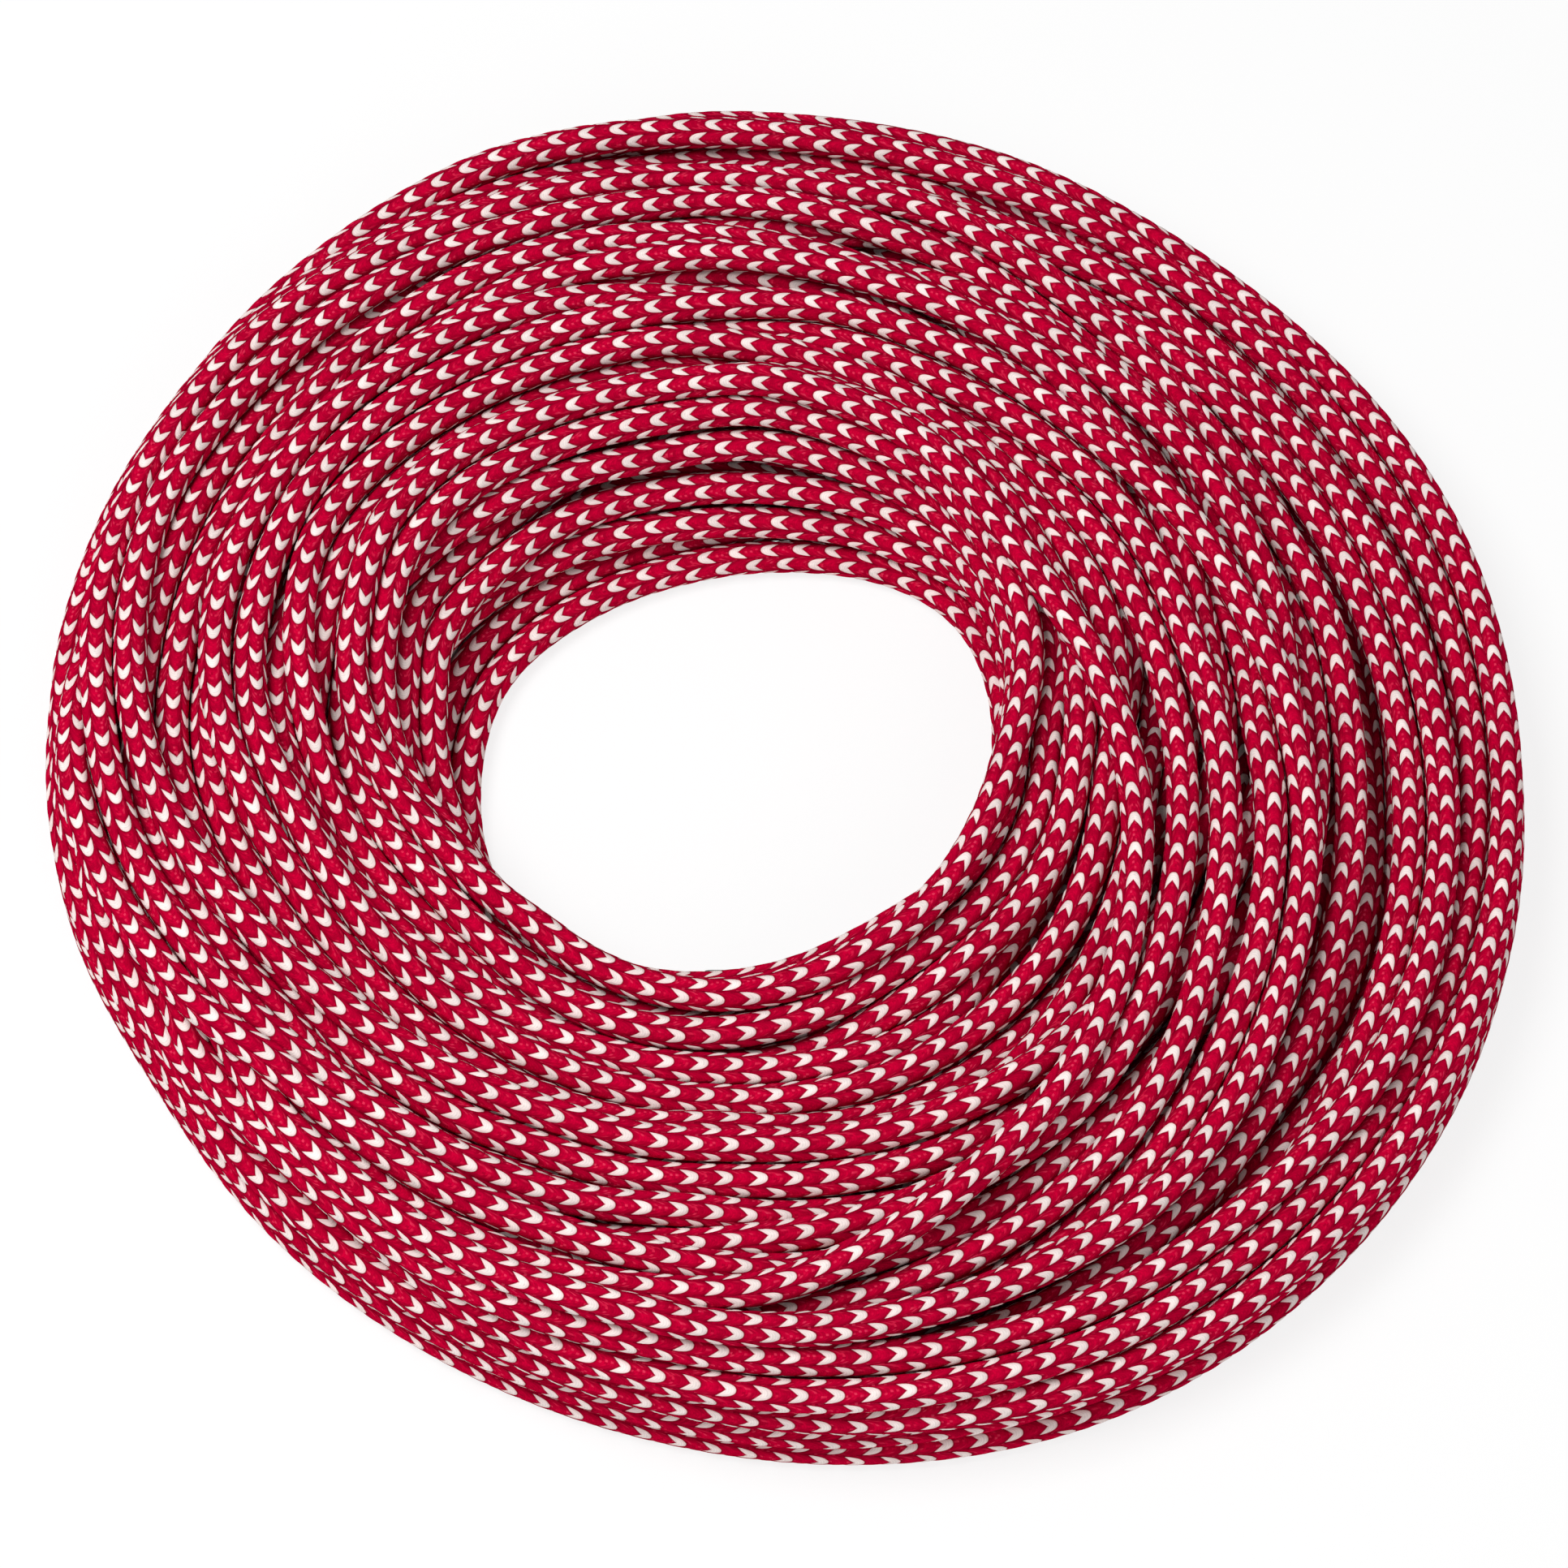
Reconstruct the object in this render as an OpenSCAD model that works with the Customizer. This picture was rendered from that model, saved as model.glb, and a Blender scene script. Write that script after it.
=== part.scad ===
// Dynamic climbing rope, put away as a loose round coil that lies flat on the ground.
// The rope is a kernmantle: twisted core strands inside a braided sheath, with a shrunk sleeve
// on each end. The turns that show are the sheath as one unbroken tube, wound over a plain
// solid that stands for the turns buried in the pile. One free end lies outside the coil and
// the other inside its eye, and both are built hollow, with their core strands.
// Sizes are in millimetres. +Z is up, and the origin lies on the ground under the coil's middle.

/* [Rope] */
// Diameter of the rope over its sheath
rope_d = 10; // [9.4:0.1:10.4]
// Wall of the braided sheath
sheath_wall = 1; // [0.8:0.05:1.2]
// Diameter of one core strand
strand_d = 2.3; // [1.8:0.1:2.4]

/* [Coil] */
// Diameter of the whole coil
coil_d = 436; // [416:2:456]
// Diameter of the open eye where it meets the ground
eye_d = 150; // [146:2:162]
// Height of the pile of turns
pile_h = 60; // [54:1:66]
// Sideways shift of the eye from the middle of the coil
eye_shift_x = -16; // [-20:1:16]
// Shift of the eye towards the back of the coil
eye_shift_y = -7; // [-10:1:10]
// Squareness of the pile's cross-section, where 2 is an ellipse
pile_square = 2.6; // [2.4:0.1:2.8]
// Least gap left between neighbouring turns
turn_gap = 0.5; // [0.45:0.05:0.8]
// Clearance between the turns that show and the buried ones
core_gap = 0.4; // [0.3:0.1:0.8]

/* [Rope ends] */
// Length of the free end that lies outside the coil
outer_end_l = 60; // [44:2:80]
// Bend radius of the rope where it turns away into the eye
inner_bend_r = 50; // [44:1:51]
// Length of the shrunk sleeve on each end
sleeve_l = 30; // [20:1:32]
// Wall of the shrunk sleeve
sleeve_wall = 0.4; // [0.3:0.05:0.6]
// Clearance between the sheath and the shrunk sleeve
sleeve_gap = 0.1; // [0.05:0.05:0.2]

/* [Hidden] */
// Core strands: one in the middle and six round it
strands_round = 6;

sheath_color = [0.78, 0.03, 0.2];
buried_color = [0.55, 0.02, 0.14];
strand_color = [0.93, 0.92, 0.89];
sleeve_color = [0.12, 0.12, 0.13];

// Rope ends
bore_d = rope_d - 2 * sheath_wall;
sleeve_bore_d = rope_d + 2 * sleeve_gap;
sleeve_d = sleeve_bore_d + 2 * sleeve_wall;
// The six strands lie midway between the middle strand and the sheath
strand_ring_r = (strand_d + (bore_d - strand_d) / 2) / 2;

// The turns keep the height at which the sleeves rest on the ground
foot_z = sleeve_d / 2;
foot_r = coil_d / 2 - rope_d / 2;
eye_foot_r = eye_d / 2 + rope_d / 2;
mid_r = (foot_r + eye_foot_r) / 2;
half_w = (foot_r - eye_foot_r) / 2;
rise = pile_h - rope_d / 2 - foot_z;
eye_shift = [eye_shift_x, eye_shift_y];
// Share by which the turns close up on the side that the eye is shifted to
squeeze = norm(eye_shift) / (foot_r - eye_foot_r);

// The turns climb the outer wall, cross the top and go down into the eye, along the upper
// half of a superellipse. Its angle a runs from 0 at the outer foot to 180 at the eye's foot.
function pile_r(a) = mid_r + half_w * sign(cos(a)) * pow(abs(cos(a)), 2 / pile_square);
function pile_z(a) = foot_z + rise * pow(max(0, sin(a)), 2 / pile_square);

// Length along that line, counted on the side where the turns lie closest
profile_steps = 360;
profile_step = 180 / profile_steps;
function step_length(a, b) = norm([(1 - squeeze) * (pile_r(b) - pile_r(a)), pile_z(b) - pile_z(a)]);
profile_angles = [
    for (i = 0, s = 0; i <= profile_steps;
         s = s + step_length(i * profile_step, (i + 1) * profile_step), i = i + 1)
    [s, i * profile_step]
];
profile_l = profile_angles[profile_steps][0];

// A turn has a whole number of rings, so the rings of neighbouring turns line up
rings_per_turn = 24;
ring_step = 360 / rings_per_turn;
rope_sides = 6;
// The rope comes in at the back of the coil and leaves the innermost turn at its front left
enter_angle = 90;
leave_angle = 210;
ahead_angle = 270;
part_turn = (leave_angle - enter_angle) / 360;
turns = floor(profile_l / (rope_d + turn_gap) - part_turn) + part_turn;
rings = round(turns * rings_per_turn);

// Centre of ring i of the wound turns, whose circles slide from the coil's middle to the eye's
function turn_point(i) =
    let (
        a = lookup(profile_l * i / rings, profile_angles),
        r = pile_r(a),
        t = enter_angle + ring_step * i,
        c = eye_shift * (foot_r - r) / (foot_r - eye_foot_r)
    )
    [c.x + r * cos(t), c.y + r * sin(t), pile_z(a)];

// Arc on which the rope turns out of the innermost turn, until it lies along +X
bend_centre = eye_shift + (eye_foot_r - inner_bend_r) * [cos(leave_angle), sin(leave_angle)];
bend_steps = (ahead_angle - leave_angle) / ring_step;
function bend_point(i) =
    let (t = leave_angle + ring_step * i)
    [bend_centre.x + inner_bend_r * cos(t), bend_centre.y + inner_bend_r * sin(t), foot_z];

// Both ends of the wound tube run straight for one diameter, up to the free ends
outer_end_at = [rope_d, foot_r, foot_z];
inner_end_at = bend_point(bend_steps) + [rope_d, 0, 0];

route = concat(
    [outer_end_at],
    [for (i = [0 : rings]) turn_point(i)],
    [for (i = [1 : bend_steps]) bend_point(i)],
    [inner_end_at]
);
last = len(route) - 1;

// The free end in the eye runs on until its sleeve would meet the innermost turn
end_gap = 0.5;
end_reach = eye_foot_r - rope_d / 2 - sleeve_d / 2 - end_gap;
end_from = inner_end_at - [eye_shift.x, eye_shift.y, 0];
inner_end_l = sqrt(pow(end_reach, 2) - pow(end_from.y, 2)) - end_from.x;

// Least gap between stretches of the tube at least half a turn apart, from points on its axis
function unit(v) = v / norm(v);
function distance_to_segment(p, a, b) =
    let (along = min(1, max(0, ((p - a) * (b - a)) / ((b - a) * (b - a)))))
    norm(a + along * (b - a) - p);
half_turn = rings_per_turn / 2;
least_gap = min([
    for (i = [0 : last]) for (j = [i + half_turn : 1 : last - 1])
        distance_to_segment(route[i], route[j], route[j + 1])
]) - rope_d;
echo(str("Turns that show: ", turns, ", least gap between them: ", least_gap, " mm"));
echo(str("Free end inside the eye: ", inner_end_l, " mm long, from ", inner_end_at));

// Direction of the tube at point i: the mean of the stretches before and after it
function heading(i) =
    let (
        before = unit(route[max(i, 1)] - route[max(i, 1) - 1]),
        after = unit(route[min(i, last - 1) + 1] - route[min(i, last - 1)])
    )
    unit(before + after);

// Corner k of the ring at point i, counted from the tube's right side over its top
function ring_corner(i, k) =
    let (
        ahead = heading(i),
        right = unit(cross(ahead, [0, 0, 1])),
        up = cross(right, ahead),
        t = 360 * k / rope_sides
    )
    route[i] + rope_d / 2 * (cos(t) * right + sin(t) * up);

function corner_number(i, k) = i * rope_sides + k % rope_sides;

// Sheath of the turns that show, as one unbroken tube
module sheath_coil() {
    corners = [for (i = [0 : last]) for (k = [0 : rope_sides - 1]) ring_corner(i, k)];
    walls = [
        for (i = [0 : last - 1]) for (k = [0 : rope_sides - 1])
            each [
                [corner_number(i, k), corner_number(i, k + 1), corner_number(i + 1, k + 1)],
                [corner_number(i, k), corner_number(i + 1, k + 1), corner_number(i + 1, k)]
            ]
    ];
    first_face = [for (k = [1 : rope_sides - 2]) [0, k + 1, k]];
    last_face = [
        for (k = [1 : rope_sides - 2])
            [corner_number(last, 0), corner_number(last, k), corner_number(last, k + 1)]
    ];
    color(sheath_color)
        polyhedron(points = corners, faces = concat(walls, first_face, last_face));
}

// The buried turns, as one plain ring: a dome round the coil's middle, less the eye round its own.
// Its shoulders are rounder than those of the wound turns, which slide sideways as they cross.
core_square = pile_square - 0.6;
core_top = pile_h - rope_d - core_gap;
// The wound tube's straight stretches pass nearer to the middle than its rings do
core_foot_r = foot_r * cos(ring_step / 2) - rope_d / 2 - core_gap;
core_eye_r = eye_foot_r + rope_d / 2 + core_gap;
shoulder_steps = 10;
function shoulder(wall_r, i) =
    let (t = 90 * i / shoulder_steps)
    [
        mid_r + (wall_r - mid_r) * pow(cos(t), 2 / core_square),
        foot_z + (core_top - foot_z) * pow(sin(t), 2 / core_square)
    ];

module inner_turns() {
    dome = concat(
        [[0, 0], [core_foot_r, 0]],
        [for (i = [0 : shoulder_steps]) shoulder(core_foot_r, i)],
        [[0, core_top]]
    );
    // The cutting shape runs past the pile's foot and top
    past = 1;
    eye = concat(
        [[0, -past], [core_eye_r, -past]],
        [for (i = [0 : shoulder_steps]) shoulder(core_eye_r, i)],
        [[mid_r, core_top + past], [0, core_top + past]]
    );
    color(buried_color)
        difference() {
            rotate_extrude($fn = 96) polygon(dome);
            translate([eye_shift.x, eye_shift.y, 0]) rotate_extrude($fn = 96) polygon(eye);
        }
}

// Pieces of a free end: each lies along +X from the point where the wound tube stops
module free_end(at) {
    translate(at) rotate([0, 90, 0]) children();
}

module end_sheath(length) {
    past = 1;
    color(sheath_color)
        difference() {
            cylinder(d = rope_d, h = length, $fn = 48);
            translate([0, 0, -past]) cylinder(d = bore_d, h = length + 2 * past, $fn = 48);
        }
}

module end_sleeve(length) {
    past = 1;
    color(sleeve_color)
        translate([0, 0, length - sleeve_l])
            difference() {
                cylinder(d = sleeve_d, h = sleeve_l, $fn = 48);
                translate([0, 0, -past]) cylinder(d = sleeve_bore_d, h = sleeve_l + 2 * past, $fn = 48);
            }
}

// Strand 0 is the middle one
module end_strand(length, i) {
    t = 360 * i / strands_round;
    place = i == 0 ? [0, 0, 0] : strand_ring_r * [cos(t), sin(t), 0];
    color(strand_color)
        translate(place) cylinder(d = strand_d, h = length, $fn = 24);
}

module outer_end_sheath() { free_end(outer_end_at) end_sheath(outer_end_l); }
module outer_end_sleeve() { free_end(outer_end_at) end_sleeve(outer_end_l); }
module outer_end_strand(i) { free_end(outer_end_at) end_strand(outer_end_l, i); }
module inner_end_sheath() { free_end(inner_end_at) end_sheath(inner_end_l); }
module inner_end_sleeve() { free_end(inner_end_at) end_sleeve(inner_end_l); }
module inner_end_strand(i) { free_end(inner_end_at) end_strand(inner_end_l, i); }

sheath_coil();
inner_turns();
outer_end_sheath();
outer_end_sleeve();
inner_end_sheath();
inner_end_sleeve();
for (i = [0 : strands_round])
    outer_end_strand(i);
for (i = [0 : strands_round])
    inner_end_strand(i);
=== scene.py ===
import math

import bpy
import numpy as np
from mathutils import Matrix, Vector


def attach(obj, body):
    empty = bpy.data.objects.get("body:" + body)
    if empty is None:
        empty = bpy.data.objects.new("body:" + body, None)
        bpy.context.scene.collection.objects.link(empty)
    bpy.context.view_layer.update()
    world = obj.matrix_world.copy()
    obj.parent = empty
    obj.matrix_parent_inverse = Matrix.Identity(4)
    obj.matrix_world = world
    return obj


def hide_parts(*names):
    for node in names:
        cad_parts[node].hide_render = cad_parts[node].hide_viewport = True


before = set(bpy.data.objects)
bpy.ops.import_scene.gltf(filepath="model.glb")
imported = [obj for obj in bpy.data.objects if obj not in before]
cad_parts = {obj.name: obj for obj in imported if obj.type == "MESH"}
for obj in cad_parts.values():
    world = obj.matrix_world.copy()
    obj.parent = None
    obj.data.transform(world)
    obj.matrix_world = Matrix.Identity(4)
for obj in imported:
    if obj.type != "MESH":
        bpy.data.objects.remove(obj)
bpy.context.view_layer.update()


# ---------------------------------------------------------------------------------------
# How the rope lies: 54 turns of one 10 mm rope, flaked round by hand into a loose ring.
# Some 35 turns lean to the left and the others slid over them to the right. They are laid
# in rows and then settled under their weight, so that they bed into each other's grooves.
# ---------------------------------------------------------------------------------------
TAU = 2 * math.pi
ROPE_D = 10.0                       # in mm, as are all the lengths of this section
FLOOR_Z = 5.5                       # height of the axis of a turn on the ground
OUTER_R = 213.0                     # axis of the outermost turn, round the coil's middle
EYE_R = 80.0                        # axis of the innermost turn, round the eye's middle
EYE = np.array([-16.0, -7.0])
ROW_TURNS = (14, 12, 11, 9, 8)      # turns in each row, from the ground up
RIGHT_SHARE = 0.35                  # of each row's turns
ROW_STEP = 1.5                      # by which each row stops short of the one below it
GROUND_BAND = 38.0                  # width of the ground row's outer group of turns
SIDE_BY_SIDE = 10.3                 # between the axes of the last turns, on the ground
STATIONS = 96                       # places at which each turn is worked out
SEAM = 90.0                         # azimuth at which one turn becomes the next
LEAVE = 210.0                       # azimuth at which the last turn leaves into the eye

azimuth = SEAM + 360 * (np.arange(STATIONS) + 0.5) / STATIONS
angle = np.radians(azimuth)


def radius_round(*pairs, passes=40):
    """Radius at every station: straight lines between (azimuth, radius) pairs, eased by averaging
    neighbours."""
    at, value = np.array(pairs, float).T
    value = np.interp(np.mod(azimuth, 360), np.r_[at - 360, at, at + 360], np.tile(value, 3))
    for _ in range(passes):
        value = 0.5 * value + 0.25 * (np.roll(value, 1) + np.roll(value, -1))
    return value


def circle_from_eye(radius):
    """Distance from the eye's middle to a circle round the coil's middle, by the cosine rule."""
    ahead = -(EYE[0] * np.cos(angle) + EYE[1] * np.sin(angle))
    return ahead + np.sqrt(radius**2 - (EYE @ EYE - ahead**2))


# Where the pile ends outwards, then at the eye on the ground and on top, all measured from the eye's middle
outer_wall = circle_from_eye(OUTER_R) + radius_round(
    (0, -1), (25, -3), (45, -6), (60, -4), (80, 0), (105, 4), (135, 1), (150, -3), (170, -2), (192, -2),
    (208, -11), (225, -10), (245, -8), (265, -4), (285, 3), (300, 7), (320, 5), (340, 3), passes=5,
)
eye_foot = radius_round(
    (3, 81), (22, 88), (40, 94), (55, 91), (78, 82), (102, 77), (128, 77), (150, 80), (177, 78), (205, 79),
    (235, 79), (270, 80), (302, 80), (335, 79), passes=6,
)
eye_rim = radius_round(
    (0, 82), (22, 93), (45, 100), (75, 108), (110, 117), (140, 119), (165, 116), (182, 107), (203, 88),
    (225, 78), (250, 76), (270, 76), (302, 76), (335, 77), passes=8,
)
# Outer edge of the turns that lean left, inner edge of those that lean right, on top and below it, and how
# loosely the covered turns lie
left_edge = radius_round(
    (0, 172), (45, 178), (90, 198), (135, 200), (180, 200), (210, 192), (230, 184), (270, 178), (315, 170),
)
right_edge = radius_round(
    (4, 113), (28, 104), (48, 104), (71, 111), (87, 119), (120, 124), (150, 128), (180, 135),
    (205, 165), (230, 188), (250, 189), (274, 183), (295, 163), (313, 151), (332, 130), passes=6,
)
right_edge_below = radius_round(
    (4, 108), (48, 102), (90, 108), (135, 110), (180, 112), (230, 135), (274, 150), (313, 130), (340, 115),
    passes=12,
)
slackness = radius_round(
    (0, 1.0), (45, 1.2), (90, 1.7), (135, 0.9), (180, 0.3), (225, 0), (270, 1.4), (315, 1.4),
)


def rows_of_turns():
    """Target radius, group and row of every turn: each group shares out its turns evenly between its inner
    and its outer edge in that row. Group 0 leans left, and group 1 right."""
    rows = []
    for row, count in enumerate(ROW_TURNS):
        right = round(count * RIGHT_SHARE)
        left = count - right
        top = len(ROW_TURNS) - 1
        inner = eye_foot + (eye_rim - eye_foot) * row / top
        turns = []
        for j in range(left):
            share = j / (left - 0.5)
            turns.append((inner + (left_edge - inner - ROW_STEP * row) * share, 0.0, row))
        hidden_edge = right_edge_below + (right_edge - right_edge_below) * max(0, row - 1) / (top - 1)
        if row == 0:
            hidden_edge = np.maximum(hidden_edge, outer_wall - GROUND_BAND)
        # The right group's turns start at its inner edge in the top row, and half a place out from it below
        for j in range(right):
            share = min((j + (0.5 if row < top else 0.02)) / max(right - 0.5, 1), 1)
            turns.append((hidden_edge + (outer_wall - hidden_edge - ROW_STEP * row) * share, 1.0, row))
        rows.append(sorted(turns, key=lambda turn: -turn[0][0]))
    # The rope starts outside on the ground, crosses row by row from the top down, and ends at the eye
    order = [rows[0].pop(0)]
    for k, row in enumerate(reversed(rows)):
        order += row if k % 2 == 0 else row[::-1]
    return [np.array(column) for column in zip(*order)]


def eased_over(values, share=0.22):
    """Each turn's values, blended into the next turn's over a share of a turn on both sides of where the one
    becomes the other. That place wanders to and fro round the seam, so that the turns don't all shift at one
    azimuth."""
    count = len(values)
    along = np.arange(count)[:, None] + (np.arange(STATIONS) + 0.5) / STATIONS
    eased = np.repeat(values[:1], count, 0)
    for k in range(1, count):
        x = np.clip((along - k - 0.24 * math.sin(TAU * k / 8.7)) / (2 * share) + 0.5, 0, 1)
        eased = eased + x * x * (3 - 2 * x) * (values[k] - values[k - 1])
    return eased


def settled_turns(steps=440, seed=5):
    """Axis of the rope through all its turns, in mm. In each step gravity lowers every station, a weak pull
    brings it to its target radius, averaging along the rope stands for its stiffness, and overlapping turns
    push each other apart along the line between their axes. Turns that others cover keep a looser fit."""
    fall, fall_less = 0.45, 0.29        # in each step, and how much less by the last one
    pull, most_pull = 0.02, 0.25        # to the target radius, as a share of the way and at most
    stiff_rest, rest = 40, 60           # steps at the end without either, in which the overlaps go
    rng = np.random.default_rng(seed)
    target, group, row = rows_of_turns()
    count = len(target)
    waver = np.array([3, 3.5, 3.5, 3, 1.6])[row.astype(int)]    # of the turns of each row, to and fro
    target = eased_over(target)
    group, row, waver = (
        eased_over(np.repeat(v[:, None], STATIONS, 1)) for v in (group, row.astype(float), waver)
    )
    along = (np.arange(count * STATIONS) + 0.5) / STATIONS
    # Each wave has its period in turns, and its phase wanders too
    wave = sum(
        size * np.sin(
            TAU * (along / period + rng.uniform())
            + 1.7 * np.sin(TAU * along / (period * 2.3) + rng.uniform(0, 6))
        )
        for period, size in ((1.37, 1.0), (0.71, 0.7), (0.43, 0.35))
    )
    target = np.clip(target + 0.8 * waver * wave.reshape(count, STATIONS), eye_foot, outer_wall)
    # The last turns lie side by side on the ground and close in on the eye as the one before them leaves
    closing = np.clip((azimuth - 200) / 130, 0, 1)
    closing = closing * closing * (3 - 2 * closing)
    target[-1] = eye_foot
    target[-2] = eye_foot + SIDE_BY_SIDE * (1 - closing)
    target[-3] += (eye_foot + SIDE_BY_SIDE - target[-3]) * np.clip((azimuth - SEAM) / 300, 0, 1)
    there = np.ones((count, STATIONS), bool)
    there[-1] = azimuth < LEAVE

    # The turns start above their place: each group lies over the other on the side that it leans to
    row_rise, lean_rise, above = 8.5, 13, 10
    lean = np.cos(angle - math.radians(175)) * (1 - 2 * group)
    height = FLOOR_Z + row_rise * row + lean * lean_rise * np.minimum(row + 1, 3) / 3 + above
    height = height + rng.normal(size=(count, 1)) * 0.5
    height[0] = height[-1] = FLOOR_Z
    radius = target.copy()
    covered = np.zeros((count, STATIONS))
    pairs = fit = None

    reach = 14                          # between two axes that may come to touch

    def find_pairs():
        """Pairs of turns that may touch, as flat indices of their stations, and how far apart each pair's
        axes stay. A station is covered by an axis over 4 mm higher and under 6.5 mm to the side; the
        outermost turn never is."""
        nonlocal covered, pairs, fit
        dr = radius.T[:, None, :] - radius.T[:, :, None]
        dz = height.T[:, None, :] - height.T[:, :, None]
        covered = 0.6 * covered + 0.4 * ((dz > 4) & (np.abs(dr) < 6.5)).any(2).T
        covered[0] = 0
        close = (dr * dr + dz * dz < reach**2) & there.T[:, None, :] & there.T[:, :, None]
        station, one, other = np.nonzero(np.triu(close, 1))
        pairs = one * STATIONS + station, other * STATIONS + station
        fit = ROPE_D + 0.1 + slackness[station] * covered.flat[pairs[0]] * covered.flat[pairs[1]]

    def stiffen(share):
        """Moves each station that share of the way to the middle of its two neighbours along the rope."""
        for value, base in ((radius, target), (height, 0)):
            line = (value - base).reshape(-1)
            bend = np.zeros_like(line)
            bend[1:-1] = 0.5 * (line[:-2] + line[2:]) - line[1:-1]
            value += (share * bend).reshape(count, STATIONS) * there

    def push_apart(share):
        """Moves both turns of each pair by that share of their overlap, and keeps them over the ground and,
        but for three tenths of what is past them, between the walls, which close in with the height."""
        one, other = pairs
        dr = radius.flat[one] - radius.flat[other]
        dz = height.flat[one] - height.flat[other]
        apart = np.sqrt(dr * dr + dz * dz) + 1e-6
        push = np.clip(fit - apart, 0, None) / apart * share
        for value, change in ((radius, dr * push), (height, dz * push)):
            moved = np.bincount(one, change, radius.size) - np.bincount(other, change, radius.size)
            value += moved.reshape(count, STATIONS)
        height[:] = np.maximum(height, FLOOR_Z)
        pile_rise, draw_in, give = 48, 6, 0.3
        level = np.clip((height - FLOOR_Z) / pile_rise, 0, 1.2)
        wall = outer_wall - draw_in * level**3
        radius[:] = np.minimum(radius, wall + give * np.maximum(radius - wall, 0))
        wall = eye_foot + (eye_rim - eye_foot) * level
        radius[:] = np.maximum(radius, wall - give * np.maximum(wall - radius, 0))
        radius[0, :4], height[0, :4] = circle_from_eye(OUTER_R)[:4], FLOOR_Z

    for step in range(steps + rest):
        if step % 8 == 0:
            find_pairs()
        if step < steps:
            height -= fall - fall_less * step / steps
            radius += np.clip((target - radius) * pull, -most_pull, most_pull)
        for _ in range(3 if step < steps + stiff_rest else 1):
            stiffen(0.45 if step < steps + stiff_rest else 0.2)
        for _ in range(3):
            push_apart(0.35 if step < steps else 0.3)
    x = EYE[0] + radius * np.cos(angle)
    y = EYE[1] + radius * np.sin(angle)
    return np.stack([x, y, height], -1), there


def open_to_view(turns, there):
    """Whether each station shows: no other turn's axis lies within 6 mm of the line out from its own, at some
    slope from level outwards, over the top, to level inwards."""
    radius = np.hypot(turns[..., 0] - EYE[0], turns[..., 1] - EYE[1]).T
    height = np.where(there, turns[..., 2], -500).T
    dr = radius[:, None, :] - radius[:, :, None]
    dz = height[:, None, :] - height[:, :, None]
    shows = np.zeros(radius.shape, bool)
    for slope in np.radians(np.arange(0, 181, 15)):
        out = dr * math.cos(slope) + dz * math.sin(slope)
        off = np.abs(dz * math.cos(slope) - dr * math.sin(slope))
        shows |= ~((out > 3) & (off < 6)).any(2)
    return shows.T


turns, there = settled_turns()
shows = open_to_view(turns, there)
# Both ends run out along the ground: from the outermost turn, and by a bend into the eye
BEND_R = 50.0
INNER_END_L = 39.1
leave = math.radians(LEAVE)
bend_middle = EYE + (EYE_R - BEND_R) * np.array([math.cos(leave), math.sin(leave)])
bend = np.radians(np.arange(LEAVE + 10, 265, 12))
outer_tip = np.array([70.0, OUTER_R, FLOOR_Z])
inner_tip = np.array([bend_middle[0] + ROPE_D + INNER_END_L, bend_middle[1] - BEND_R, FLOOR_Z])
lead_in = np.array([[x, OUTER_R, FLOOR_Z] for x in (70, 60, 50, 40, 30, 20, 10, 0)])
bend_x, bend_y = bend_middle[0] + BEND_R * np.cos(bend), bend_middle[1] + BEND_R * np.sin(bend)
lead_out = np.vstack([
    np.stack([bend_x, bend_y, np.full(len(bend), FLOOR_Z)], 1),
    [[bend_middle[0] + x, bend_middle[1] - BEND_R, FLOOR_Z] for x in np.linspace(0, ROPE_D + INNER_END_L, 6)],
])
axis = np.vstack([lead_in, turns.reshape(-1, 3)[there.reshape(-1)], lead_out]) / 1000
axis_shows = np.r_[
    np.ones(len(lead_in), bool), shows.reshape(-1)[there.reshape(-1)], np.ones(len(lead_out), bool)
]


# ---------------------------------------------------------------------------------------
# The rope: a braided sheath of crimson and off-white yarn over a twisted core. Its six
# columns of V stitches stand proud of the grooves between them. The one rope is built in
# runs of three to four turns, each joined to the next; its ends are open at the core.
# ---------------------------------------------------------------------------------------
ROPE_R = 0.0049                     # over the middle of a stitch, in metres from here on
STITCH = 0.0097                     # length along the rope from one white stitch to the next
COLUMNS = 6                         # of stitches, round the rope
WHITE_L = 0.31                      # length of a white stitch on its middle line, in stitches
WHITE_W = 0.87                      # its width, in columns
TIP_BACK = 0.58                     # how far its tips trail behind its nose
BLUNT = 2.3                         # 2 for an elliptic nose, more for a squarer one
FALL_OFF = 0.75                     # by which a stitch is lower at its column's sides
REPEAT = 8                          # stitches after which the baked pattern repeats
CROWN_H = 0.00038                   # height of a stitch over the grooves
SIDES = 36                          # corners of each ring of the mesh
RINGS_PER_STITCH = 8


def along_axis(at):
    """Points and headings of the uniform cubic B-spline over the axis points, at parameters counted in
    points."""
    points = np.vstack([2 * axis[0] - axis[1], axis, 2 * axis[-1] - axis[-2]])
    i = np.clip(np.floor(at).astype(int), 0, len(axis) - 2)
    t = (at - i)[:, None]
    p0, p1, p2, p3 = (points[i + k] for k in range(4))
    point = (
        (1 - t) ** 3 * p0 + (3 * t**3 - 6 * t**2 + 4) * p1 + (-3 * t**3 + 3 * t**2 + 3 * t + 1) * p2
        + t**3 * p3
    )
    heading = (-((1 - t) ** 2) * p0 + (3 * t**2 - 4 * t) * p1 + (-3 * t**2 + 2 * t + 1) * p2 + t**2 * p3) / 2
    return point / 6, heading / np.linalg.norm(heading, axis=1, keepdims=True)


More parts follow.
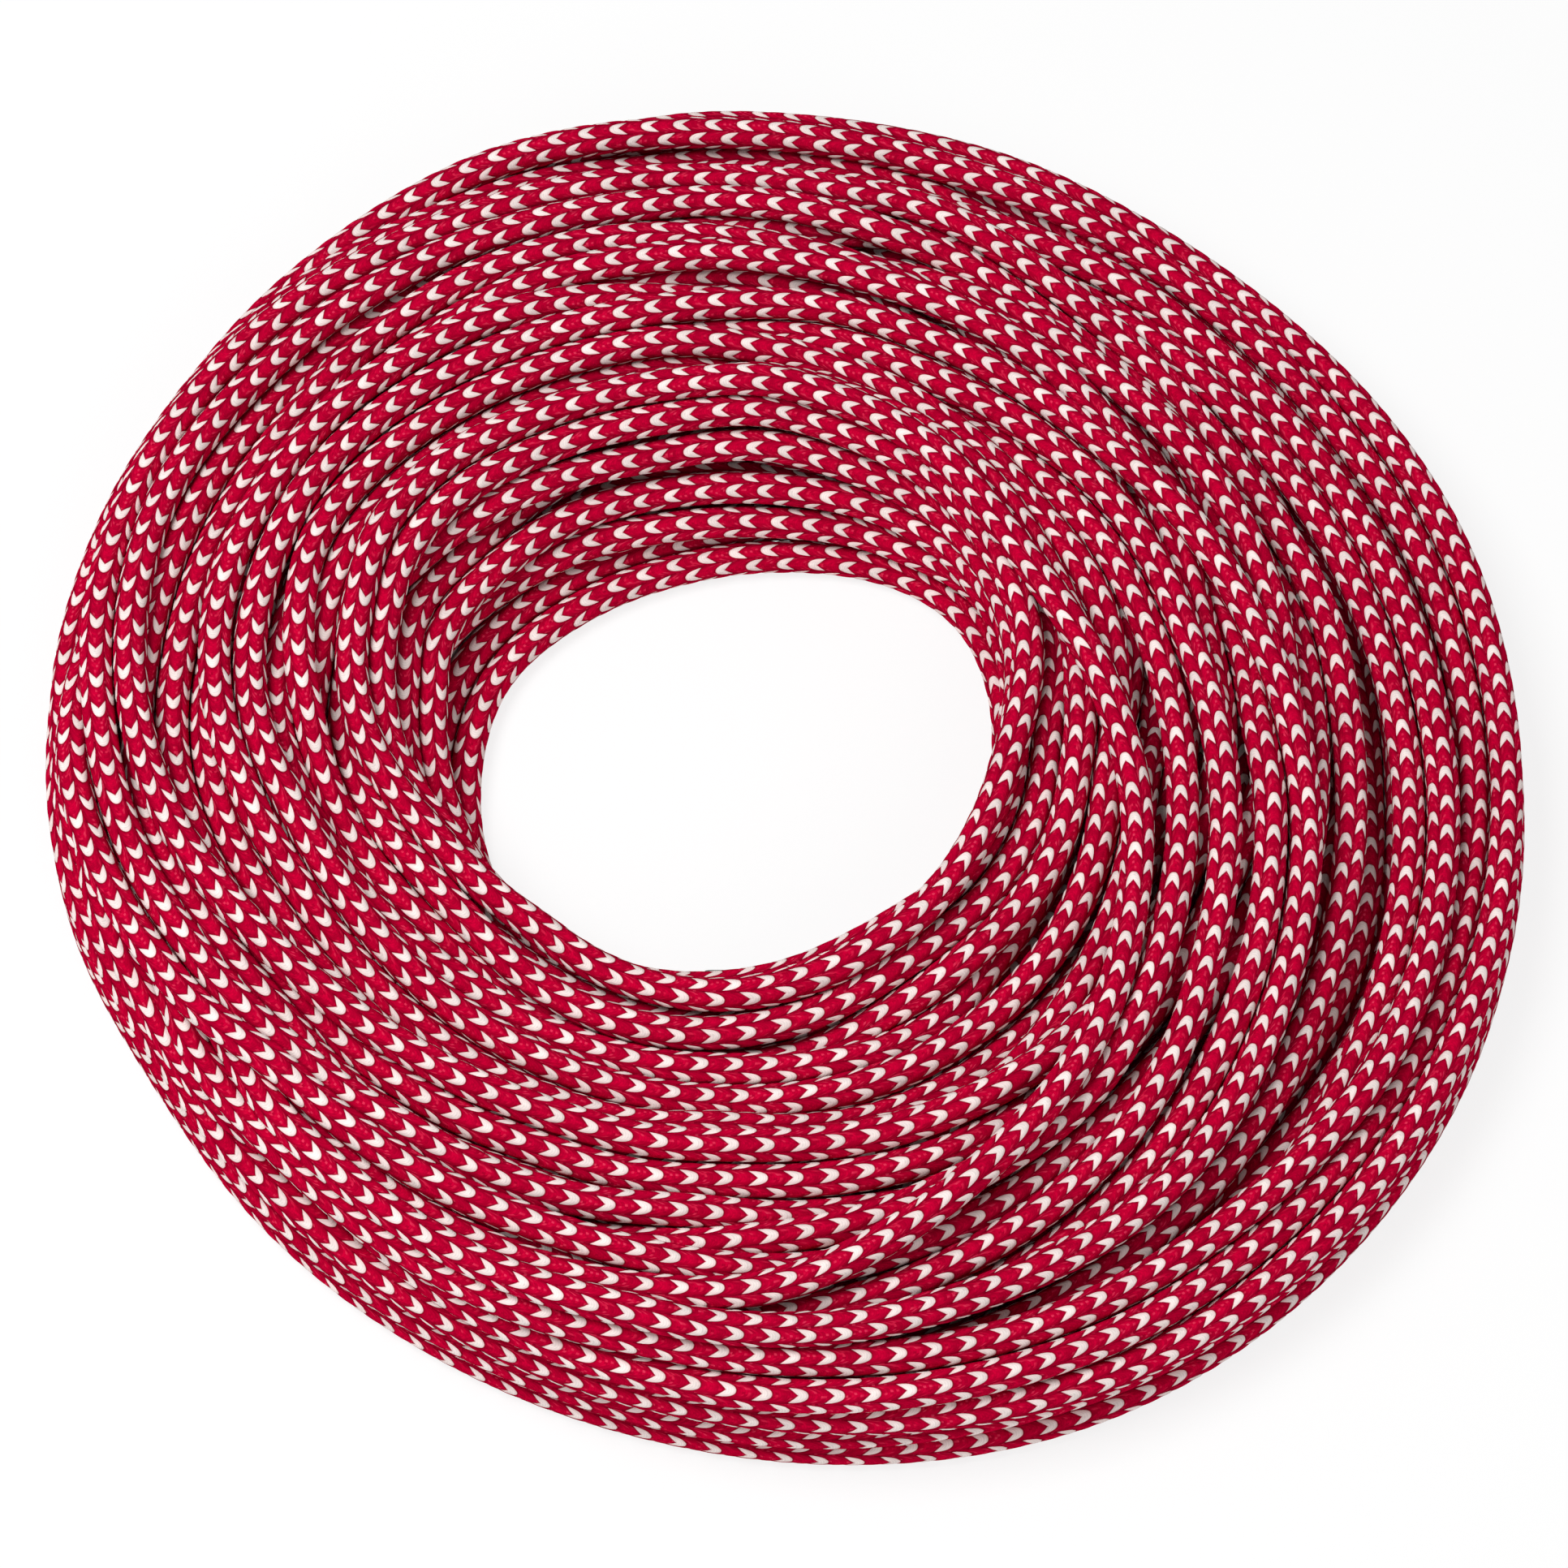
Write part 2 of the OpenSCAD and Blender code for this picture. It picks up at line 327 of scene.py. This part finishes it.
fine = np.linspace(0, len(axis) - 1, (len(axis) - 1) * 8 + 1)
fine_points = along_axis(fine)[0]
distance = np.r_[0, np.cumsum(np.linalg.norm(np.diff(fine_points, axis=0), axis=1))]
rope_length = distance[-1]


def stitch_height(u, v):
    """Height of the braid from 0 in a groove to 1 on a stitch. u counts stitches along the rope and v columns
    round it. A white stitch's front edge is half a superellipse, and its back edge a V whose two tips meet
    the front edge near the column's sides. The red one fills the rest, up to the next. Both are round, as is
    the column."""
    column = np.floor(v)
    x = 2 * np.abs(v - column - 0.5)
    aside = np.minimum(x / WHITE_W, 1)
    trail = TIP_BACK * (1 - (1 - aside**BLUNT) ** (1 / BLUNT))
    behind = np.mod(-trail - u - 0.5 * np.mod(column, 2), 1)
    white = WHITE_L + (TIP_BACK - WHITE_L) * aside - trail
    place = np.where(behind < white, behind / np.maximum(white, 1e-3), (behind - white) / (1 - white))
    return np.sqrt(np.clip(1 - (2 * place - 1) ** 2, 0, 1)) * (1 - FALL_OFF * x**2)


def tube(name, centre, heading, radius, turn, u, columns, material, bake_tile):
    """Closed tube of rings: corner = centre + radius * (cos a * right + sin a * up), where right and up lie
    square to the heading. UV map "braid" counts stitches along and columns round, and OFBake is the same map,
    scaled to a tile that the pattern repeats on."""
    rings, sides = radius.shape
    right = np.cross(heading, (0, 0, 1))
    right /= np.linalg.norm(right, axis=1, keepdims=True)
    up = np.cross(right, heading)
    a = TAU * np.arange(sides) / sides + turn[:, None]
    outwards = np.cos(a)[..., None] * right[:, None] + np.sin(a)[..., None] * up[:, None]
    corners = centre[:, None] + radius[..., None] * outwards
    k, j = np.meshgrid(np.arange(rings - 1), np.arange(sides), indexing="ij")
    ring, side = np.stack([k, k + 1, k + 1, k], -1), np.stack([j, j, j + 1, j + 1], -1)
    quads = (ring * sides + side % sides).reshape(-1)
    caps = np.r_[np.arange(sides), (rings - 1) * sides + np.arange(sides)[::-1]]
    starts = np.r_[np.arange(0, len(quads), 4), len(quads), len(quads) + sides]
    v = side * columns / sides
    uv = np.stack([u[ring], v], -1).reshape(-1, 2)
    cap_u = np.repeat(u[[0, -1]], sides)
    cap_v = np.tile(np.arange(sides) * columns / sides, 2)
    uv = np.vstack([uv, np.stack([cap_u, cap_v], -1)])
    mesh = bpy.data.meshes.new(name)
    mesh.vertices.add(rings * sides)
    mesh.vertices.foreach_set("co", corners.reshape(-1).astype(np.float32))
    mesh.loops.add(len(quads) + 2 * sides)
    mesh.loops.foreach_set("vertex_index", np.r_[quads, caps].astype(np.int32))
    mesh.polygons.add(len(starts))
    mesh.polygons.foreach_set("loop_start", starts.astype(np.int32))
    mesh.polygons.foreach_set("use_smooth", np.r_[np.ones(len(starts) - 2, bool), False, False])
    for layer, scale in (("braid", (1, 1)), ("OFBake", bake_tile)):
        if scale:
            mesh.uv_layers.new(name=layer).data.foreach_set("uv", (uv * scale).reshape(-1).astype(np.float32))
    mesh.materials.append(material)
    mesh.update(calc_edges=True)
    mesh.validate()
    piece = bpy.data.objects.new(name, mesh)
    bpy.context.collection.objects.link(piece)
    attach(piece, "root")
    return piece


class Nodes:
    """Writes a material's node tree in short lines, where each call gives the socket that the next one
    reads."""

    def __init__(self, name):
        self.material = bpy.data.materials.new(name)
        self.material.use_nodes = True
        self.tree = self.material.node_tree
        self.shader = next(n for n in self.tree.nodes if n.type == "BSDF_PRINCIPLED")

    def put(self, socket, value):
        """Links the socket to another one, or sets it to a number or colour."""
        if isinstance(value, bpy.types.NodeSocket):
            self.tree.links.new(value, socket)
        else:
            socket.default_value = value

    def add(self, kind, inputs=(), output=0, **settings):
        """One node with its settings and inputs, as the socket of one of its outputs."""
        node = self.tree.nodes.new(kind)
        for key, value in settings.items():
            setattr(node, key, value)
        for key, value in dict(inputs).items():
            self.put(node.inputs[key], value)
        return node.outputs[output]

    def m(self, operation, *values, clamp=False):
        """The result of one operation of arithmetic, which may be kept between 0 and 1."""
        return self.add("ShaderNodeMath", dict(enumerate(values)), operation=operation, use_clamp=clamp)

    def mix(self, share, a, b):
        """Colour a plus that share of the way to colour b."""
        return self.add("ShaderNodeMix", {0: share, 6: a, 7: b}, 2, data_type="RGBA")

    def chance(self, x, y):
        """A random number from 0 to 1 for each pair of whole numbers."""
        cell = self.add("ShaderNodeCombineXYZ", {0: x, 1: y})
        return self.add("ShaderNodeTexWhiteNoise", {0: cell}, noise_dimensions="3D")

    def uv(self, layer):
        """The two coordinates of one of the piece's UV maps."""
        vector = self.add("ShaderNodeUVMap", uv_map=layer)
        split = self.tree.nodes.new("ShaderNodeSeparateXYZ")
        self.tree.links.new(vector, split.inputs[0])
        return split.outputs[0], split.outputs[1]


def braid_finish():
    """Crimson and off-white polyamide: the stitch formula of stitch_height in nodes, with painted shade that
    darkens the grooves, each stitch a little lighter or darker than the next, with a fine grain, a few flecks
    of painted sheen in the red, and filament lines that follow the arms of each V. The white stitches are
    painted pink towards their edges, a painted light for what they take up from the red ones round them."""
    # The fleck colour in the red is a painted sheen, and the whites' edge colour is a painted pink bounce
    # light from the red
    crimson, red_sheen = (0.475, 0.0006, 0.029, 1), (0.62, 0.04, 0.095, 1)
    white_edge_bounce, white_crown = (0.9, 0.5, 0.52, 1), (0.85, 0.75, 0.72, 1)
    soft_edge = 0.035                   # over which white turns to red, in stitches
    filaments = 13                      # that show in the length of one stitch
    grains_along, grains_round = 12.0, 8.0
    n = Nodes("braided_sheath")
    u, v = n.uv("braid")
    column = n.m("FLOOR", v)
    x = n.m("MULTIPLY", n.m("ABSOLUTE", n.m("SUBTRACT", n.m("FRACT", v), 0.5)), 2.0)
    xx = n.m("MULTIPLY", x, x)
    odd = n.m("MULTIPLY", n.m("MODULO", column, 2.0), 0.5)
    aside = n.m("DIVIDE", x, WHITE_W, clamp=True)
    nose = n.m("POWER", n.m("SUBTRACT", 1.0, n.m("POWER", aside, BLUNT), clamp=True), 1 / BLUNT)
    trail = n.m("MULTIPLY", n.m("SUBTRACT", 1.0, nose), TIP_BACK)
    ahead = n.m("ADD", n.m("ADD", u, odd), trail)
    behind = n.m("SUBTRACT", 1.0, n.m("FRACT", ahead))
    white = n.m("SUBTRACT", n.m("ADD", n.m("MULTIPLY", aside, TIP_BACK - WHITE_L), WHITE_L), trail)
    into = n.m("SUBTRACT", white, behind)
    is_white = n.m(
        "MULTIPLY", n.m("DIVIDE", into, soft_edge, clamp=True), n.m("DIVIDE", behind, soft_edge, clamp=True)
    )
    in_white = n.m("DIVIDE", behind, n.m("MAXIMUM", white, 0.001))
    in_red = n.m("DIVIDE", n.m("MULTIPLY", into, -1.0), n.m("SUBTRACT", 1.0, white))
    first = n.m("GREATER_THAN", into, 0.0)
    place = n.m("ADD", n.m("MULTIPLY", in_white, first), n.m("MULTIPLY", in_red, n.m("SUBTRACT", 1.0, first)))
    across = n.m("SUBTRACT", n.m("MULTIPLY", place, 2.0), 1.0)
    crown = n.m("SQRT", n.m("MAXIMUM", n.m("SUBTRACT", 1.0, n.m("MULTIPLY", across, across)), 0.0))
    height = n.m("MULTIPLY", crown, n.m("SUBTRACT", 1.0, n.m("MULTIPLY", xx, FALL_OFF)))
    filament = n.m("SINE", n.m("MULTIPLY", behind, TAU * filaments))
    number = n.m("MODULO", n.m("FLOOR", ahead), REPEAT)
    stitch = n.chance(number, column)
    grain_row = n.m("FLOOR", n.m("MULTIPLY", n.m("SUBTRACT", number, behind), grains_along))
    grain = n.m("SUBTRACT", n.chance(grain_row, n.m("FLOOR", n.m("MULTIPLY", v, grains_round))), 0.5)
    uneven = n.m("MULTIPLY", grain, n.m("SUBTRACT", 0.42, n.m("MULTIPLY", is_white, 0.3)))
    random_tone = n.m("ADD", n.m("ADD", n.m("MULTIPLY", stitch, 0.18), 0.87), uneven)
    # Painted shade: the colour darkens in the grooves between stitches, where shade falls
    groove = n.m("SUBTRACT", 0.66, n.m("MULTIPLY", is_white, 0.6))
    painted_groove_shade = n.m(
        "SUBTRACT", 1.0, n.m("MULTIPLY", groove, n.m("POWER", n.m("SUBTRACT", 1.0, height, clamp=True), 2.0))
    )
    tone_and_shade = n.m("MULTIPLY", n.m("MULTIPLY", random_tone, painted_groove_shade), n.m("ADD", n.m("MULTIPLY", filament, 0.06), 1.0))
    # Painted light: the white turns pink from its crown to its edges, a painted bounce light from the red
    off_white_and_bounce = n.mix(n.m("POWER", height, 0.6), white_edge_bounce, white_crown)
    # Painted sheen: light pink flecks scattered in the red
    sheen_fleck = n.m("MULTIPLY", n.m("SUBTRACT", grain, 0.35), 4.0, clamp=True)
    colour = n.mix(is_white, n.mix(sheen_fleck, crimson, red_sheen), off_white_and_bounce)
    toned = n.add("ShaderNodeVectorMath", {0: colour, 3: tone_and_shade}, operation="SCALE")
    n.put(n.shader.inputs["Base Color"], toned)
    relief = n.m("ADD", n.m("ADD", height, n.m("MULTIPLY", filament, 0.045)), n.m("MULTIPLY", grain, 0.12))
    bump = n.add("ShaderNodeBump", {"Height": relief, "Distance": 0.0004, "Strength": 0.7})
    n.put(n.shader.inputs["Normal"], bump)
    n.put(n.shader.inputs["Roughness"], 0.6)
    n.put(n.shader.inputs["Specular IOR Level"], 0.0)
    return n.material


braid = braid_finish()
# Rings lie evenly along the rope, in full number where a turn shows and one in four where it is buried
ring_count = round(rope_length / STITCH * RINGS_PER_STITCH)
step = rope_length / ring_count
steps = np.arange(ring_count + 1)
at = np.interp(steps * step, distance, fine)
near = np.convolve(axis_shows.astype(float), np.ones(5), "same") > 0
fine_enough = near[np.clip(np.round(at).astype(int), 0, len(axis) - 1)] | (steps % 4 == 0)
# The runs meet at whole repeats of the pattern
RUNS = 16
whole = REPEAT * RINGS_PER_STITCH
cuts = np.round(np.linspace(0, len(steps) - 1, RUNS + 1) / whole).astype(int) * whole
cuts[-1] = len(steps) - 1
# Where the sheath turns in over its cut edge to the bore: place from the tip, and radius
lip = np.array([(6.0, 3.95), (0.5, 3.95), (0.1, 4.2), (0.0, 4.5), (0.15, 4.8)]) / 1000
LIP_STEP = 0.02                     # between its rings on the map, in stitches
rope_runs = []
for run in range(RUNS):
    first, last = cuts[run], cuts[run + 1]
    chosen = steps[first:last + 1]
    chosen = chosen[fine_enough[first:last + 1] | (chosen == first) | (chosen == last)]
    centre, heading = along_axis(at[chosen])
    s = chosen * step
    # As it goes the rope twists to and fro about its own axis, by about a radian at most
    spin = 0.5 * np.sin(TAU * s / 1.9) + 0.35 * np.sin(TAU * s / 0.83 + 2) + 0.2 * np.sin(TAU * s / 0.41 + 4)
    u = chosen / RINGS_PER_STITCH
    v = np.arange(SIDES) * COLUMNS / SIDES
    radius = ROPE_R - CROWN_H + CROWN_H * stitch_height(u[:, None] + 0 * v, v + 0 * u[:, None])
    # The first and the last run end in the lip, inside which the core strands show
    if run == 0 or run == RUNS - 1:
        tip, way = (centre[0], heading[0]) if run == 0 else (centre[-1], -heading[-1])
        lip_centre = tip + lip[:, :1] * way
        lip_radius = np.repeat(lip[:, 1:], SIDES, 1)
        order = slice(None) if run == 0 else slice(None, None, -1)
        end_heading = np.repeat(heading[[0 if run == 0 else -1]], len(lip), 0)
        end_spin = np.repeat(spin[0 if run == 0 else -1], len(lip))
        end_u = (
            u[0] - LIP_STEP * np.arange(len(lip), 0, -1) if run == 0
            else u[-1] + LIP_STEP * np.arange(1, len(lip) + 1)
        )
        kept = slice(1, None) if run == 0 else slice(None, -1)
        parts = [
            (lip_centre[order], centre[kept]), (end_heading, heading[kept]),
            (lip_radius[order], radius[kept]), (end_spin, spin[kept]), (end_u, u[kept]),
        ]
        centre, heading, radius, spin, u = (np.concatenate(p if run == 0 else p[::-1]) for p in parts)
    u = u - REPEAT * math.floor(u[0] / REPEAT)
    name = f"rope_turns_{run + 1:02d}"
    piece = tube(name, centre, heading, radius, spin, u, COLUMNS, braid, (1 / REPEAT, 1 / COLUMNS))
    rope_runs.append(piece)
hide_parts("outer_end_sheath", "sheath_coil", "inner_turns")
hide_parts("inner_end_sheath")


# ---------------------------------------------------------------------------------------
# Core strands: seven strands of natural polyamide yarn, each of three plies twisted
# together, that fill the sheath from end to end. They are cut flush and melted a little at
# both ends, and show nowhere else, so only their ends are built.
# ---------------------------------------------------------------------------------------
STRAND_R = 0.00115
STRAND_RING_R = 0.002575            # from the middle strand to the six round it
STRANDS_ROUND = 6
STRAND_SIDES = 24
PLIES = 3
PLY_CROWN = 0.09                    # height of a ply's crown, as a share of the strand
STRAND_TWIST = 0.02                 # length of one turn of the plies
STRAND_MAP = 0.004                  # length of strand that its map counts as one
STRAND_TILE = (1 / 16, 1 / 3.2)     # scales a whole strand's map to fit one baked tile
OUTER_END_L = 0.060


def strand_finish():
    """Natural polyamide yarn: the twist's plies are lighter on their crowns and darker between them, a
    painted light and shade, with fine filament lines along them."""
    natural = (0.84, 0.81, 0.75)
    n = Nodes("core_yarn")
    u, v = n.uv("braid")
    v = n.m("ADD", v, n.m("MULTIPLY", u, PLIES * STRAND_MAP / STRAND_TWIST))
    # Painted light and shade: each ply is lighter on its crown and darker where it meets the next
    painted_ply_light = n.m("COSINE", n.m("MULTIPLY", v, TAU))
    filament = n.m("SINE", n.m("MULTIPLY", n.m("ADD", n.m("MULTIPLY", v, 9.0), n.m("MULTIPLY", u, 4.0)), TAU))
    tone_and_shade = n.m("ADD", n.m("MULTIPLY", painted_ply_light, 0.07), n.m("ADD", n.m("MULTIPLY", filament, 0.05), 0.9))
    toned = n.add("ShaderNodeVectorMath", {0: natural, 3: tone_and_shade}, operation="SCALE")
    n.put(n.shader.inputs["Base Color"], toned)
    bump = n.add("ShaderNodeBump", {"Height": filament, "Distance": 0.00008, "Strength": 0.5})
    n.put(n.shader.inputs["Normal"], bump)
    n.put(n.shader.inputs["Roughness"], 0.6)
    n.put(n.shader.inputs["Sheen Weight"], 0.2)
    return n.material


core_yarn = strand_finish()
end_strands = {"outer": [], "inner": []}
for end, tip, length in (
    ("outer", outer_tip / 1000, OUTER_END_L), ("inner", inner_tip / 1000, INNER_END_L / 1000),
):
    # The strand narrows at both faces, most where it was melted at the tip
    x = np.r_[
        0, 0.0003, 0.0012, np.linspace(0.0024, length - 0.0016, 60), length - 0.0007, length - 0.0002, length
    ]
    edge = np.interp(x, [0, 0.0012, length - 0.0016, length - 0.0007, length], [0.9, 1, 1, 0.94, 0.72])
    a = TAU * np.arange(STRAND_SIDES) / STRAND_SIDES
    swell = 1 + PLY_CROWN * np.cos(PLIES * (a + TAU * x[:, None] / STRAND_TWIST))
    radius = STRAND_R / (1 + PLY_CROWN) * swell * edge[:, None]
    for number in range(STRANDS_ROUND + 1):
        turn = TAU * (number - 1) / STRANDS_ROUND
        offset = np.zeros(3) if number == 0 else STRAND_RING_R * np.array([0, math.cos(turn), math.sin(turn)])
        centre = tip + offset + np.stack([x - length, 0 * x, 0 * x], 1)
        piece = tube(
            f"{end}_core_strand_{number + 1}", centre, np.tile([1.0, 0, 0], (len(x), 1)), radius,
            0 * x, x / STRAND_MAP, PLIES, core_yarn, STRAND_TILE,
        )
        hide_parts(f"{end}_end_strand_{number + 1}")
        end_strands[end].append(piece)


# ---------------------------------------------------------------------------------------
# End sleeves: a short length of black heat-shrunk film on each end keeps the braid from
# fraying. It has drawn down onto the stitches, so they show through it as soft swellings.
# ---------------------------------------------------------------------------------------
def sleeve_finish():
    """Black shrunk film, satin: fine noise on Object coordinates mottles its black and its gloss a little."""
    black, worn_black = (0.016, 0.016, 0.018, 1), (0.03, 0.03, 0.033, 1)
    n = Nodes("shrunk_film")
    place = n.add("ShaderNodeTexCoord", output=3)
    mottle = n.add("ShaderNodeTexNoise", {"Vector": place, "Scale": 900.0, "Detail": 2.0})
    n.put(n.shader.inputs["Base Color"], n.mix(mottle, black, worn_black))
    n.put(n.shader.inputs["Roughness"], n.m("ADD", n.m("MULTIPLY", mottle, 0.2), 0.32))
    return n.material


shrunk_film = sleeve_finish()
SLEEVE_L = 0.030
SLEEVE_R = 0.00541
SLEEVE_BORE_R = 0.00503
SWELLING_H = 0.00009                # of a stitch under the film
EDGE_IN, EDGE_L = 0.00022, 0.0004   # how far the film draws in at its edges, and over what length
SLEEVE_SIDES = 48
for end, tip in (("outer", outer_tip / 1000), ("inner", inner_tip / 1000)):
    x = np.linspace(0, SLEEVE_L, 97)
    a = np.arange(SLEEVE_SIDES)
    swell = stitch_height((x / STITCH)[:, None] + 0 * a, a * COLUMNS / SLEEVE_SIDES + 0 * x[:, None])
    swell = (
        swell + np.roll(swell, 1, 0) + np.roll(swell, -1, 0) + np.roll(swell, 1, 1) + np.roll(swell, -1, 1)
    ) / 5
    near_edge = np.exp(-x / EDGE_L) + np.exp(-(SLEEVE_L - x) / EDGE_L)
    outside = SLEEVE_R + SWELLING_H * swell - EDGE_IN * near_edge[:, None]
    # Out along the film and back through its bore, so that the wall is closed at both edges
    bore = np.full((2, SLEEVE_SIDES), SLEEVE_BORE_R)
    radius = np.vstack([bore[:1], outside, bore[:1], bore])
    x = np.r_[0, x, SLEEVE_L, SLEEVE_L * 0.5, 0]
    centre = tip + np.stack([x - SLEEVE_L, 0 * x, 0 * x], 1)
    piece = tube(
        f"{end}_sleeve", centre, np.tile([1.0, 0, 0], (len(x), 1)), radius, 0 * x, x / STITCH, COLUMNS,
        shrunk_film, None,
    )
    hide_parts(f"{end}_end_sleeve")

# Each run's length along the rope is worked out, and nothing is done with it
for run, piece in enumerate(rope_runs):
    first, last = cuts[run], cuts[run + 1]
    length = (last - first) * step
    if run == 0:
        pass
    elif run == RUNS - 1:
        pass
    else:
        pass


# ---------------------------------------------------------------------------------------
# The stand: a plain white floor that keeps the rope's soft shadow, one broad soft light
# overhead and to the left, a weak one from the front, and the camera in front of the coil,
# looking down at it.
# ---------------------------------------------------------------------------------------
def floor_finish():
    """White floor: mostly plain white to the camera and to reflections, so that only a faint shadow stays on
    it. Under the turns, inside one circle round the coil's middle and outside another round the open part of
    the eye, it keeps its full shadow."""
    covered_r = 0.195
    open_eye, open_eye_r = (-0.007, -0.004, 0), 0.087
    plain_white = 0.8                   # share of the floor's look that is plain white
    n = Nodes("white_floor")
    n.put(n.shader.inputs["Base Color"], (0.9, 0.9, 0.9, 1))
    n.put(n.shader.inputs["Roughness"], 0.9)
    rays = n.tree.nodes.new("ShaderNodeLightPath")
    seen = n.m("MAXIMUM", rays.outputs["Is Camera Ray"], rays.outputs["Is Glossy Ray"])
    seen = n.m("MAXIMUM", seen, rays.outputs["Is Transmission Ray"])
    glow = n.add("ShaderNodeEmission", {"Color": (1, 1, 1, 1), "Strength": 1.0})
    place = n.add("ShaderNodeTexCoord", output=3)
    from_middle = n.add("ShaderNodeVectorMath", {0: place}, 1, operation="LENGTH")
    from_eye = n.add("ShaderNodeVectorMath", {0: place, 1: open_eye}, 1, operation="DISTANCE")
    clear = n.m(
        "MAXIMUM", n.m("GREATER_THAN", from_middle, covered_r), n.m("LESS_THAN", from_eye, open_eye_r)
    )
    share = n.m("MULTIPLY", n.m("MULTIPLY", seen, clear), plain_white)
    mixed = n.add("ShaderNodeMixShader", {0: share, 1: n.shader.outputs[0], 2: glow})
    n.tree.links.new(mixed, next(x for x in n.tree.nodes if x.type == "OUTPUT_MATERIAL").inputs["Surface"])
    return n.material


FLOOR_HALF = 6
floor_mesh = bpy.data.meshes.new("floor")
corners = [(x * FLOOR_HALF, y * FLOOR_HALF, 0) for x, y in ((-1, -1), (1, -1), (1, 1), (-1, 1))]
floor_mesh.from_pydata(corners, [], [(0, 1, 2, 3)])
floor_mesh.materials.append(floor_finish())
floor = bpy.data.objects.new("floor", floor_mesh)
bpy.context.collection.objects.link(floor)

# The sky is white where it is seen, and lights the rope more weakly
SKY_LIGHT = 0.40
world = bpy.data.worlds.new("studio")
bpy.context.scene.world = world
world.use_nodes = True
sky = world.node_tree
rays = sky.nodes.new("ShaderNodeLightPath")
seen = rays.outputs["Is Camera Ray"]
for ray in ("Is Glossy Ray", "Is Transmission Ray"):
    either = sky.nodes.new("ShaderNodeMath")
    either.operation = "MAXIMUM"
    sky.links.new(seen, either.inputs[0])
    sky.links.new(rays.outputs[ray], either.inputs[1])
    seen = either.outputs[0]
level = sky.nodes.new("ShaderNodeMapRange")
sky.links.new(seen, level.inputs["Value"])
level.inputs["To Min"].default_value = SKY_LIGHT
level.inputs["To Max"].default_value = 1.0
background = next(x for x in sky.nodes if x.type == "BACKGROUND")
background.inputs["Color"].default_value = (1, 1, 1, 1)
sky.links.new(level.outputs[0], background.inputs["Strength"])


def soft_light(name, place, size, power):
    """Square area light that faces the coil's middle."""
    lamp = bpy.data.lights.new(name, "AREA")
    lamp.shape, lamp.size, lamp.energy = "SQUARE", size, power
    light = bpy.data.objects.new(name, lamp)
    light.location = place
    light.rotation_euler = (-Vector(place)).to_track_quat("-Z", "Y").to_euler()
    bpy.context.collection.objects.link(light)


soft_light("overhead", (-0.6, -0.1, 1.35), 0.7, 16.5)
soft_light("front", (0.5, -1.35, 1.3), 0.9, 7)

CAMERA_UP = 61.5                    # degrees above the ground
CAMERA_FAR = 1.50
HALF_VIEW = 0.229                   # half the width seen at that distance
AIM = Vector((0.0, -0.0125, 0.020))
camera = bpy.data.cameras.new("camera")
camera.sensor_fit = "HORIZONTAL"
camera.angle = 2 * math.atan(HALF_VIEW / CAMERA_FAR)
eye = bpy.data.objects.new("camera", camera)
up = math.radians(CAMERA_UP)
eye.location = AIM + CAMERA_FAR * Vector((0, -math.cos(up), math.sin(up)))
eye.rotation_euler = (AIM - eye.location).to_track_quat("-Z", "Y").to_euler()
bpy.context.collection.objects.link(eye)
bpy.context.scene.camera = eye
bpy.context.scene.view_settings.view_transform = "Standard"

print("rope length", round(rope_length, 2), "m, triangles", sum(2 * len(p.data.polygons) for p in rope_runs))
